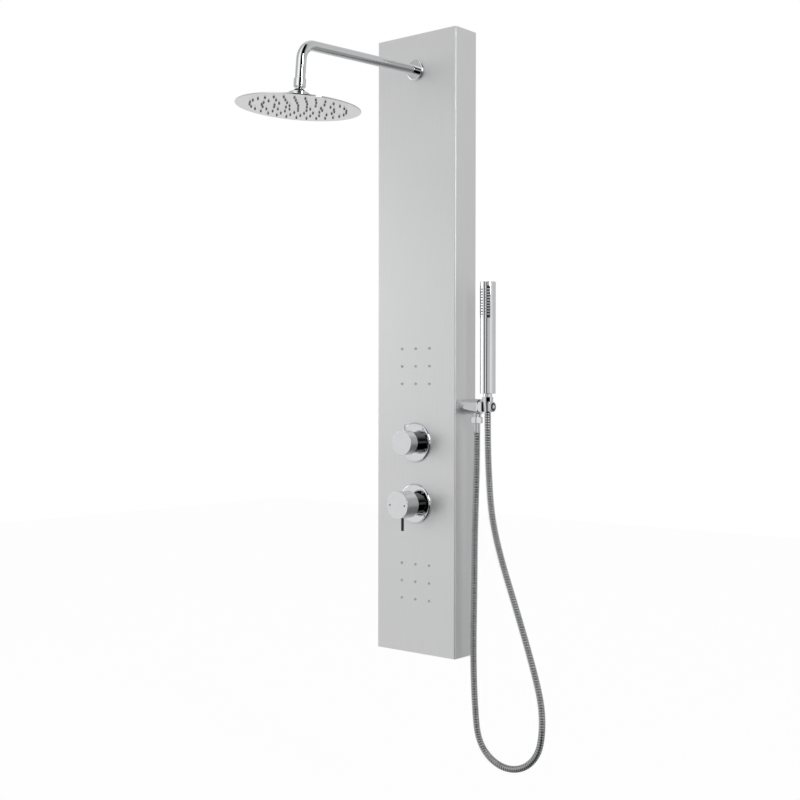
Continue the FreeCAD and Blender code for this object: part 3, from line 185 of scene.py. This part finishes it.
def add_bump(material, shader, height, strength, distance):
    bump = add_node(material, "ShaderNodeBump", Strength=strength, Distance=distance)
    join(material, height, bump.inputs["Height"])
    join(material, bump.outputs["Normal"], shader.inputs["Normal"])


def shade(colour, amount):
    return tuple(min(1.0, c * amount) for c in colour)


def grained_metal(name, colour, rough, grain, scale, contrast, depth, metal=1.0):
    """Metal with fine marks drawn along one direction."""
    material, shader, place = new_material(name)
    shader.inputs["Metallic"].default_value = metal
    marks = stretched_noise(material, place, scale, grain)
    clouds = stretched_noise(material, place, 3.0, (1, 1, 1), 2.0)
    join(material, tint(material, marks, shade(colour, 1 - contrast), shade(colour, 1 + contrast)),
         shader.inputs["Base Color"])
    join(material, spread(material, clouds, rough * 0.85, rough * 1.15), shader.inputs["Roughness"])
    add_bump(material, shader, marks, 0.08, depth)
    return material


def plated_metal(name, colour, rough):
    """Bright plate, with a faint ripple and thin water marks."""
    material, shader, place = new_material(name)
    shader.inputs["Metallic"].default_value = 1.0
    marks = stretched_noise(material, place, 60.0, (1, 1, 1), 4.0)
    ripple = stretched_noise(material, place, 14.0, (1, 1, 1), 1.0)
    join(material, tint(material, marks, shade(colour, 0.98), shade(colour, 1.02)),
         shader.inputs["Base Color"])
    join(material, spread(material, marks, rough * 0.6, rough * 1.4), shader.inputs["Roughness"])
    add_bump(material, shader, ripple, 0.05, 0.0004)
    return material


def moulded(name, colour, rough, coat=0.0, texture=220.0):
    """Moulded plastic or rubber with a fine skin texture."""
    material, shader, place = new_material(name)
    skin = stretched_noise(material, place, texture, (1, 1, 1), 2.0)
    clouds = stretched_noise(material, place, 20.0, (1, 1, 1), 2.0)
    join(material, tint(material, clouds, shade(colour, 0.85), shade(colour, 1.15)),
         shader.inputs["Base Color"])
    join(material, spread(material, skin, rough * 0.85, rough * 1.15), shader.inputs["Roughness"])
    shader.inputs["Coat Weight"].default_value = coat
    add_bump(material, shader, skin, 0.15, 0.0003)
    return material


def make_finishes(finish):
    """Every finish, under the record's material slots."""
    steel = tuple(finish.steel)
    chrome = tuple(finish.chrome)
    return {
        "steel": grained_metal("brushed_steel_sheet", steel, 0.42, (60, 60, 1), 10.0, 0.02, 0.0002, 0.8),
        # Smoother steel for the head's face plate, with its colour raised to 0.95 as painted light on the
        # underside.
        "head_steel_painted_light": grained_metal("polished_steel_painted_light", (0.95, 0.95, 0.95), 0.3, (1, 1, 1), 40.0,
                                    0.02, 0.0001),
        "chrome": plated_metal("chrome_plate", chrome, 0.05),
        "dark": moulded("dark_gloss_plastic", (0.02, 0.02, 0.022), 0.2, 0.5),
        "seal": moulded("pale_acetal", (0.7, 0.69, 0.65), 0.4),
        "rubber": moulded("silicone_rubber", (0.2, 0.2, 0.2), 0.45),
        "pale_rubber": moulded("pale_silicone", (0.5, 0.5, 0.5), 0.4),
        "black_rubber": moulded("black_silicone", (0.02, 0.02, 0.02), 0.35),
        "brass": grained_metal("turned_brass", (0.72, 0.56, 0.3), 0.3, (1, 40, 1), 20.0, 0.06, 0.0002),
        "copper": grained_metal("drawn_copper", (0.72, 0.4, 0.26), 0.28, (30, 30, 1), 20.0, 0.08, 0.0002),
        "bracket": grained_metal("zinc_plated_steel", (0.6, 0.61, 0.62), 0.4, (1, 1, 1), 60.0, 0.08, 0.0002),
        "cartridge": moulded("moulded_cartridge", (0.72, 0.72, 0.7), 0.5),
        "marks": moulded("inlaid_mark", (0.16, 0.16, 0.17), 0.4),
        # The hose's chrome darkened to 0.68 all over: painted shade.
        "hose": plated_metal("wound_hose_steel_painted_shade", shade(chrome, 0.68), 0.05),
        # Chrome darkened to a tenth for the faces deep in the grooves: painted shade in the grooves.
        "hose_groove": plated_metal("hose_groove_painted_shade", shade(chrome, 0.1), 0.3),
        # Chrome darkened to a tenth for the sleeves and the lever pin: painted shade.
        "painted_shade_chrome": plated_metal("painted_shade_chrome_plate", shade(chrome, 0.10), 0.08),
    }


# ---------------------------------------------------------------- mesh helpers

def deselect_all():
    for thing in bpy.context.view_layer.objects:
        thing.select_set(False)
    bpy.context.view_layer.objects.active = None


def smooth(piece, degrees=35):
    deselect_all()
    piece.select_set(True)
    bpy.context.view_layer.objects.active = piece
    bpy.ops.object.shade_smooth_by_angle(angle=math.radians(degrees))


# ---------------------------------------------------------------- hose

def hose_line():
    """Even points along the route's smooth curve."""
    data = bpy.data.curves.new("hose_route", "CURVE")
    data.dimensions = "3D"
    spline = data.splines.new("NURBS")
    spline.points.add(len(HOSE_ROUTE) - 1)
    for point, (x, z) in zip(spline.points, HOSE_ROUTE):
        point.co = (x, HOLDER_PLANE, z, 1)
    spline.order_u = 3
    spline.use_endpoint_u = True
    data.resolution_u = 24
    carrier = bpy.data.objects.new("hose_route", data)
    bpy.context.scene.collection.objects.link(carrier)
    mesh = bpy.data.meshes.new_from_object(carrier)
    line = np.array([v.co[:] for v in mesh.vertices])
    bpy.data.objects.remove(carrier)
    bpy.data.curves.remove(data)
    bpy.data.meshes.remove(mesh)
    return line


def along(line, places):
    """Points at the given distances along a line, and the directions there."""
    steps = np.linalg.norm(np.diff(line, axis=0), axis=1)
    reached = np.concatenate([[0], np.cumsum(steps)])
    points = np.column_stack([np.interp(places, reached, line[:, i]) for i in range(3)])
    ahead = np.gradient(points, axis=0)
    return points, ahead / np.linalg.norm(ahead, axis=1)[:, None]


# One turn of the strip: how far along the turn, and how deep the surface lies there (1 is the groove's
# floor).
TURN_PROFILE = ((0.0, 1.0), (0.04, 0.36), (0.14, 0.14), (0.36, 0.0), (0.6, 0.14), (0.72, 0.36), (0.77, 1.0))
HOSE_SIDES = 20
# A face whose edge lies deeper than this share of the groove gets the groove's painted shade: chrome
# darkened to a tenth.
GROOVE_SHADE_SHARE = 0.6


def hose_rings(sizes):
    """The rings' centres, directions and radii for the whole hose."""
    line = hose_line()
    length = float(np.linalg.norm(np.diff(line, axis=0), axis=1).sum())
    turns = int(round(length / sizes.hose_pitch))
    pitch = length / turns
    places = []
    radii = []
    for turn in range(turns):
        for share, depth in TURN_PROFILE:
            places.append((turn + share) * pitch)
            radii.append(sizes.hose_diameter / 2 - depth * sizes.hose_groove)
    places.append(length)
    radii.append(sizes.hose_diameter / 2 - sizes.hose_groove)
    points, ahead = along(line, np.array(places))
    return points, ahead, np.array(radii)


def tube(name, points, ahead, radii, material):
    """A closed tube through rings in the holder's plane."""
    out = Vector((0, 1, 0))
    mesh = bmesh.new()
    rings = []
    for point, direction, radius in zip(points, ahead, radii):
        side = out.cross(Vector(direction)).normalized()
        ring = []
        for i in range(HOSE_SIDES):
            turn = 2 * math.pi * i / HOSE_SIDES
            spoke = side * math.cos(turn) + out * math.sin(turn)
            ring.append(mesh.verts.new(Vector(point) + spoke * radius))
        rings.append(ring)
    for low, high in zip(rings, rings[1:]):
        for i in range(HOSE_SIDES):
            j = (i + 1) % HOSE_SIDES
            mesh.faces.new((low[i], low[j], high[j], high[i]))
    mesh.faces.new(rings[0][::-1])
    mesh.faces.new(rings[-1])
    bmesh.ops.recalc_face_normals(mesh, faces=mesh.faces)
    data = bpy.data.meshes.new(name)
    mesh.to_mesh(data)
    mesh.free()
    data.materials.append(material)
    data.materials.append(bpy.data.materials["hose_groove_painted_shade"])
    # Faces deep in a groove get the darkened chrome: painted shade in the grooves.
    deep = radii < radii.max() - GROOVE_SHADE_SHARE * (radii.max() - radii.min())
    groove = deep[:-1] | deep[1:]
    for face in data.polygons[:len(groove) * HOSE_SIDES]:
        face.material_index = int(groove[face.index // HOSE_SIDES])
    piece = bpy.data.objects.new(name, data)
    bpy.context.scene.collection.objects.link(piece)
    smooth(piece, 40)
    return piece


class SHOWER_OT_hose(bpy.types.Operator):
    """Winds the steel hose along its route, in three stretches; only the first is hung on the column"""
    bl_idname = "shower.hose"
    bl_label = "Add the hose"

    def execute(self, context):
        sizes = context.scene.column_sizes
        points, ahead, radii = hose_rings(sizes)
        last_leg = np.arange(len(points)) > len(points) // 2
        swing_start = int(np.argmax(last_leg & (points[:, 2] > SWING_START_Z)))
        swing_end = int(np.argmax(last_leg & (points[:, 2] > SWING_END_Z)))
        material = bpy.data.materials["wound_hose_steel_painted_shade"]
        cuts = (("hose_main_run", 0, swing_start), ("hose_swing_run", swing_start, swing_end),
                ("hose_top_run", swing_end, len(points) - 1))
        pieces = []
        for name, first, last in cuts:
            part = slice(first, last + 1)
            pieces.append((tube(name, points[part], ahead[part], radii[part], material), points[part]))
        main, swing, top = (piece for piece, _ in pieces)
        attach(main, "column")
        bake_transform(swing)
        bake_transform(top)
        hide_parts("hose")
        return {"FINISHED"}


# ---------------------------------------------------------------- holder's end cap

CAP_SIDES = 64
CAP_STEPS = 12
CAP_RIM = 0.3 * MM
# The dark ring's inner and outer radius, as shares of the cap's, and how deep it lies.
CAP_RING = (0.36, 0.82)
CAP_GROOVE = 0.3 * MM


def grow_dome(radius, rise, steps):
    """Turns the selected round face into a shallow dome, ring by ring."""
    bulge = (radius ** 2 + rise ** 2) / (2 * rise)
    reach = radius
    height = 0.0
    for step in range(1, steps + 1):
        next_reach = radius * (1 - step / (steps + 0.5))
        next_height = math.sqrt(bulge ** 2 - next_reach ** 2) - (bulge - rise)
        bpy.ops.mesh.inset(thickness=reach - next_reach, depth=next_height - height)
        reach = next_reach
        height = next_height


def select_faces(piece, wanted):
    """Leaves selected only the faces that pass the test."""
    bpy.ops.object.mode_set(mode="EDIT")
    bpy.ops.mesh.select_mode(type="FACE")
    bpy.ops.mesh.select_all(action="DESELECT")
    bpy.ops.object.mode_set(mode="OBJECT")
    for face in piece.data.polygons:
        face.select = wanted(face)
    bpy.ops.object.mode_set(mode="EDIT")


class SHOWER_OT_end_cap(bpy.types.Operator):
    """Makes the domed cap that closes the holder, with a dark ring let into its face"""
    bl_idname = "shower.end_cap"
    bl_label = "Add the holder's end cap"

    def execute(self, context):
        sizes = context.scene.column_sizes
        low, high = (Vector(corner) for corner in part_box("holder_end_cap"))
        middle = (low + high) / 2
        radius = (high.z - low.z) / 2
        wall = high.x - low.x - sizes.cap_rise
        deselect_all()
        bpy.ops.mesh.primitive_cylinder_add(
            vertices=CAP_SIDES, radius=radius, depth=wall, location=(low.x + wall / 2, middle.y, middle.z),
            rotation=(0, math.pi / 2, 0))
        cap = context.object
        cap.name = "holder_domed_cap"
        bpy.ops.object.transform_apply(location=True, rotation=True, scale=True)
        for finish in ("chrome_plate", "dark_gloss_plastic"):
            cap.data.materials.append(bpy.data.materials[finish])
        select_faces(cap, lambda face: face.normal.x > 0.9)
        grow_dome(radius, sizes.cap_rise, CAP_STEPS)
        bpy.ops.mesh.poke()
        ring_low, ring_high = (share * radius for share in CAP_RING)
        select_faces(cap, lambda face: face.normal.x > 0.5 and ring_low < math.hypot(
            face.center.y - middle.y, face.center.z - middle.z) < ring_high)
        bpy.ops.mesh.inset(thickness=CAP_GROOVE / 2, depth=-CAP_GROOVE)
        cap.active_material_index = 1
        bpy.ops.object.material_slot_assign()
        bpy.ops.object.mode_set(mode="OBJECT")
        bevel = cap.modifiers.new("rim", "BEVEL")
        bevel.width = CAP_RIM
        bevel.segments = 2
        bevel.limit_method = "ANGLE"
        bevel.angle_limit = math.radians(40)
        bpy.ops.object.modifier_apply(modifier="rim")
        smooth(cap, 35)
        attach(cap, "holder_cradle")
        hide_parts("holder_end_cap")
        return {"FINISHED"}


# ---------------------------------------------------------------- finishes of the imported pieces

# Pieces whose finish is not simply their slot's: the sleeves and the lever pin get chrome darkened to a
# tenth as painted shade, and the head's face plate gets a smoother steel brightened as painted light.
OTHER_FINISHES = {"mixer_sleeve": "painted_shade_chrome", "diverter_sleeve": "painted_shade_chrome",
                  "mixer_lever_pin": "painted_shade_chrome", "head_face_plate": "head_steel_painted_light"}


class SHOWER_OT_finishes(bpy.types.Operator):
    """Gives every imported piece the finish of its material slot"""
    bl_idname = "shower.finishes"
    bl_label = "Apply the finishes"

    def execute(self, context):
        finishes = make_finishes(context.scene.column_finish)
        for entry in frame["record"]["subparts"]:
            node = NODES[entry["node"]]
            node.data.materials.clear()
            finish = OTHER_FINISHES.get(entry["node"], entry["material_slot"])
            node.data.materials.append(finishes[finish])
        return {"FINISHED"}


# ---------------------------------------------------------------- studio

# The camera's place in metres, its turn and roll in degrees, and its lens in millimetres.
CAMERA_PLACE = (1.7017, -2.1568, -0.0913)
CAMERA_TURN = (89.452, 0.0, 39.891)
CAMERA_ROLL = 0.078
CAMERA_LENS = 57.57
FLOOR_Z = -1.02
FLOOR_SIZE = 12
# How much of the floor's own shade is hidden from the camera by plain white.
FLOOR_VEIL = 0.965
# Each area light's place, the point that it faces, its width and its height.
KEY_LIGHT = ((-2.4, -1.17, 0.35), (0, 0, 0.1), 1.1, 1.1)
SIDE_LIGHT = ((2.25, -0.82, 0.85), (0, 0, 0.1), 0.3, 1.2)


# Tones that polished pieces mirror, round the room: (degrees from -Y towards +X, tone).
EYE_LEVEL_TONES = ((-180, 0.60), (-92, 0.76), (-64, 0.78), (-34, 0.80), (-25, 0.60), (-16, 0.06), (-8, 0.06),
                   (-3, 0.85), (7, 0.85), (14, 0.03), (22, 0.03), (29, 0.58), (60, 0.56), (71, 0.86),
                   (80, 0.86), (92, 0.80), (110, 0.64), (140, 0.58), (180, 0.60))
HIGH_TONES = ((-180, 0.62), (-124, 0.76), (-68, 0.50), (-38, 0.52), (-18, 0.85), (-8, 1.15), (16, 1.15),
              (27, 0.50), (36, 0.0), (86, 0.0), (98, 0.25), (110, 0.56), (140, 0.60), (180, 0.62))
LOW_TONES = ((-180, 0.60), (-140, 0.80), (-92, 0.85), (-66, 0.90), (-40, 0.85), (-26, 0.75), (-12, 0.60),
             (-2, 0.50), (4, 0.10), (10, 0.0), (82, 0.0), (90, 0.70), (98, 1.2), (108, 1.1),
             (120, 0.55), (140, 0.38), (180, 0.60))
# How far the high and the low tones stand in for the eye-level ones, and how bright the whole room is,
# at each height: (upward part of the direction, share).
HIGH_SHARES = ((-1.0, 0.0), (0.1, 0.0), (0.2, 1.0), (1.0, 1.0))
LOW_SHARES = ((-1.0, 1.0), (-0.16, 1.0), (-0.06, 0.0), (1.0, 0.0))
HEIGHT_TONES = ((-1.0, 0.6), (-0.4, 0.8), (-0.2, 0.9), (0.0, 1.0), (0.3, 1.0), (1.0, 0.9))


def tone_ramp(nodes, links, factor, stops, low, high):
    """A grey ramp whose stops are given in the factor's own units, from low to high."""
    share = nodes.new("ShaderNodeMapRange")
    share.inputs["From Min"].default_value = low
    share.inputs["From Max"].default_value = high
    links.new(factor, share.inputs["Value"])
    ramp = nodes.new("ShaderNodeValToRGB")
    elements = ramp.color_ramp.elements
    while len(elements) < len(stops):
        elements.new(0.5)
    for element, (where, tone) in zip(elements, stops):
        element.position = (where - low) / (high - low)
    for element, (where, tone) in zip(elements, stops):
        element.color = (tone, tone, tone, 1)
    links.new(share.outputs["Result"], ramp.inputs["Fac"])
    return ramp.outputs["Color"]


def math_node(nodes, links, operation, *values):
    node = nodes.new("ShaderNodeMath")
    node.operation = operation
    for socket, value in zip(node.inputs, values):
        if isinstance(value, float):
            socket.default_value = value
        else:
            links.new(value, socket)
    return node.outputs[0]


def background(nodes, links, strength, colour):
    node = nodes.new("ShaderNodeBackground")
    node.inputs["Strength"].default_value = strength
    if isinstance(colour, tuple):
        node.inputs["Color"].default_value = colour
    else:
        links.new(colour, node.inputs["Color"])
    return node.outputs[0]


def mix_shaders(nodes, links, factor, first, second):
    node = nodes.new("ShaderNodeMixShader")
    links.new(factor, node.inputs[0])
    links.new(first, node.inputs[1])
    links.new(second, node.inputs[2])
    return node.outputs[0]


def mix_colours(nodes, links, factor, first, second):
    node = nodes.new("ShaderNodeMix")
    node.data_type = "RGBA"
    links.new(factor, node.inputs[0])
    links.new(first, node.inputs[6])
    links.new(second, node.inputs[7])
    return node.outputs[2]


def studio_world(strength):
    """An even room that is white to look at, with the tones that polished metal mirrors."""
    world = bpy.data.worlds.new("studio")
    world.use_nodes = True
    nodes = world.node_tree.nodes
    links = world.node_tree.links
    nodes.clear()
    path = nodes.new("ShaderNodeLightPath")
    place = nodes.new("ShaderNodeTexCoord")
    split = nodes.new("ShaderNodeSeparateXYZ")
    links.new(place.outputs["Generated"], split.inputs[0])
    out_of_wall = math_node(nodes, links, "MULTIPLY", split.outputs["Y"], -1.0)
    angle = math_node(nodes, links, "ARCTAN2", split.outputs["X"], out_of_wall)
    degrees = math_node(nodes, links, "MULTIPLY", angle, 180 / math.pi)
    around = mix_colours(nodes, links, tone_ramp(nodes, links, split.outputs["Z"], HIGH_SHARES, -1, 1),
                         tone_ramp(nodes, links, degrees, EYE_LEVEL_TONES, -180, 180),
                         tone_ramp(nodes, links, degrees, HIGH_TONES, -180, 180))
    around = mix_colours(nodes, links, tone_ramp(nodes, links, split.outputs["Z"], LOW_SHARES, -1, 1),
                         around, tone_ramp(nodes, links, degrees, LOW_TONES, -180, 180))
    upward = tone_ramp(nodes, links, split.outputs["Z"], HEIGHT_TONES, -1, 1)
    both = nodes.new("ShaderNodeVectorMath")
    both.operation = "MULTIPLY"
    links.new(around, both.inputs[0])
    links.new(upward, both.inputs[1])
    even = background(nodes, links, strength, (1.0, 1.0, 1.0, 1.0))
    mirrored = background(nodes, links, 1.0, both.outputs[0])
    seen = background(nodes, links, 1.0, (1.0, 1.0, 1.0, 1.0))
    lit = mix_shaders(nodes, links, path.outputs["Is Glossy Ray"], even, mirrored)
    full = mix_shaders(nodes, links, path.outputs["Is Camera Ray"], lit, seen)
    out = nodes.new("ShaderNodeOutputWorld")
    links.new(full, out.inputs["Surface"])
    bpy.context.scene.world = world


def floor_paint(colour):
    """Matt paint that looks white, keeps a soft shadow and stays out of mirrored views."""
    material, shader, place = new_material("studio_floor_paint")
    clouds = stretched_noise(material, place, 2.0, (1, 1, 1), 2.0)
    join(material, tint(material, clouds, shade(colour, 0.99), colour), shader.inputs["Base Color"])
    shader.inputs["Roughness"].default_value = 0.9
    nodes = material.node_tree.nodes
    links = material.node_tree.links
    path = nodes.new("ShaderNodeLightPath")
    white = nodes.new("ShaderNodeEmission")
    clear = nodes.new("ShaderNodeBsdfTransparent")
    output = nodes["Material Output"]
    veil = math_node(nodes, links, "MULTIPLY", path.outputs["Is Camera Ray"], FLOOR_VEIL)
    seen = mix_shaders(nodes, links, veil, shader.outputs[0], white.outputs[0])
    full = mix_shaders(nodes, links, path.outputs["Is Glossy Ray"], seen, clear.outputs[0])
    links.new(full, output.inputs["Surface"])
    return material


def area_light(name, place, target, width, height, power):
    bpy.ops.object.light_add(type="AREA", location=place)
    light = bpy.context.object
    light.name = name
    light.data.shape = "RECTANGLE"
    light.data.size = width
    light.data.size_y = height
    light.data.energy = power
    aim = Vector(target) - Vector(place)
    light.rotation_euler = aim.to_track_quat("-Z", "Y").to_euler()


class SHOWER_OT_stage(bpy.types.Operator):
    """Adds the floor, the soft lights and the camera"""
    bl_idname = "shower.stage"
    bl_label = "Set the stage"

    def execute(self, context):
        finish = context.scene.column_finish
        deselect_all()
        bpy.ops.mesh.primitive_plane_add(size=FLOOR_SIZE, location=(0, -0.5, FLOOR_Z))
        floor = context.object
        floor.name = "studio_floor"
        floor.data.materials.append(floor_paint(tuple(finish.backdrop)))
        studio_world(finish.room_light)
        area_light("key_light", *KEY_LIGHT, finish.key_power)
        area_light("side_light", *SIDE_LIGHT, finish.side_power)
        camera_data = bpy.data.cameras.new("studio_camera")
        camera_data.lens = CAMERA_LENS
        camera_data.sensor_width = 36
        camera_data.clip_start = 0.05
        camera = bpy.data.objects.new("studio_camera", camera_data)
        context.scene.collection.objects.link(camera)
        turn = Matrix.Rotation(math.radians(CAMERA_TURN[2]), 4, "Z")
        turn = turn @ Matrix.Rotation(math.radians(CAMERA_TURN[0]), 4, "X")
        turn = turn @ Matrix.Rotation(math.radians(CAMERA_ROLL), 4, "Z")
        camera.matrix_world = Matrix.Translation(CAMERA_PLACE) @ turn
        context.scene.camera = camera
        context.scene.view_settings.view_transform = "Standard"
        return {"FINISHED"}


# ---------------------------------------------------------------- panel and registration

class SHOWER_PT_sidebar(bpy.types.Panel):
    bl_label = "Shower column"
    bl_idname = "SHOWER_PT_sidebar"
    bl_space_type = "VIEW_3D"
    bl_region_type = "UI"
    bl_category = "Shower"

    def draw(self, context):
        layout = self.layout
        for group in (context.scene.column_sizes, context.scene.column_finish):
            box = layout.box()
            for key in group.__annotations__:
                box.prop(group, key)
        for operator in OPERATORS:
            layout.operator(operator.bl_idname)


OPERATORS = (SHOWER_OT_finishes, SHOWER_OT_hose, SHOWER_OT_end_cap, SHOWER_OT_stage)
GROUPS = (ColumnSizes, ColumnFinish)


def register():
    for cls in GROUPS + OPERATORS + (SHOWER_PT_sidebar,):
        bpy.utils.register_class(cls)
    bpy.types.Scene.column_sizes = bpy.props.PointerProperty(type=ColumnSizes)
    bpy.types.Scene.column_finish = bpy.props.PointerProperty(type=ColumnFinish)


def unregister():
    del bpy.types.Scene.column_finish
    del bpy.types.Scene.column_sizes
    for cls in reversed(GROUPS + OPERATORS + (SHOWER_PT_sidebar,)):
        bpy.utils.unregister_class(cls)


def write_size():
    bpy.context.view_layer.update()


def main():
    register()
    bpy.ops.shower.finishes()
    bpy.ops.shower.hose()
    bpy.ops.shower.end_cap()
    bpy.ops.shower.stage()
    write_size()


if __name__ == "__main__":
    main()
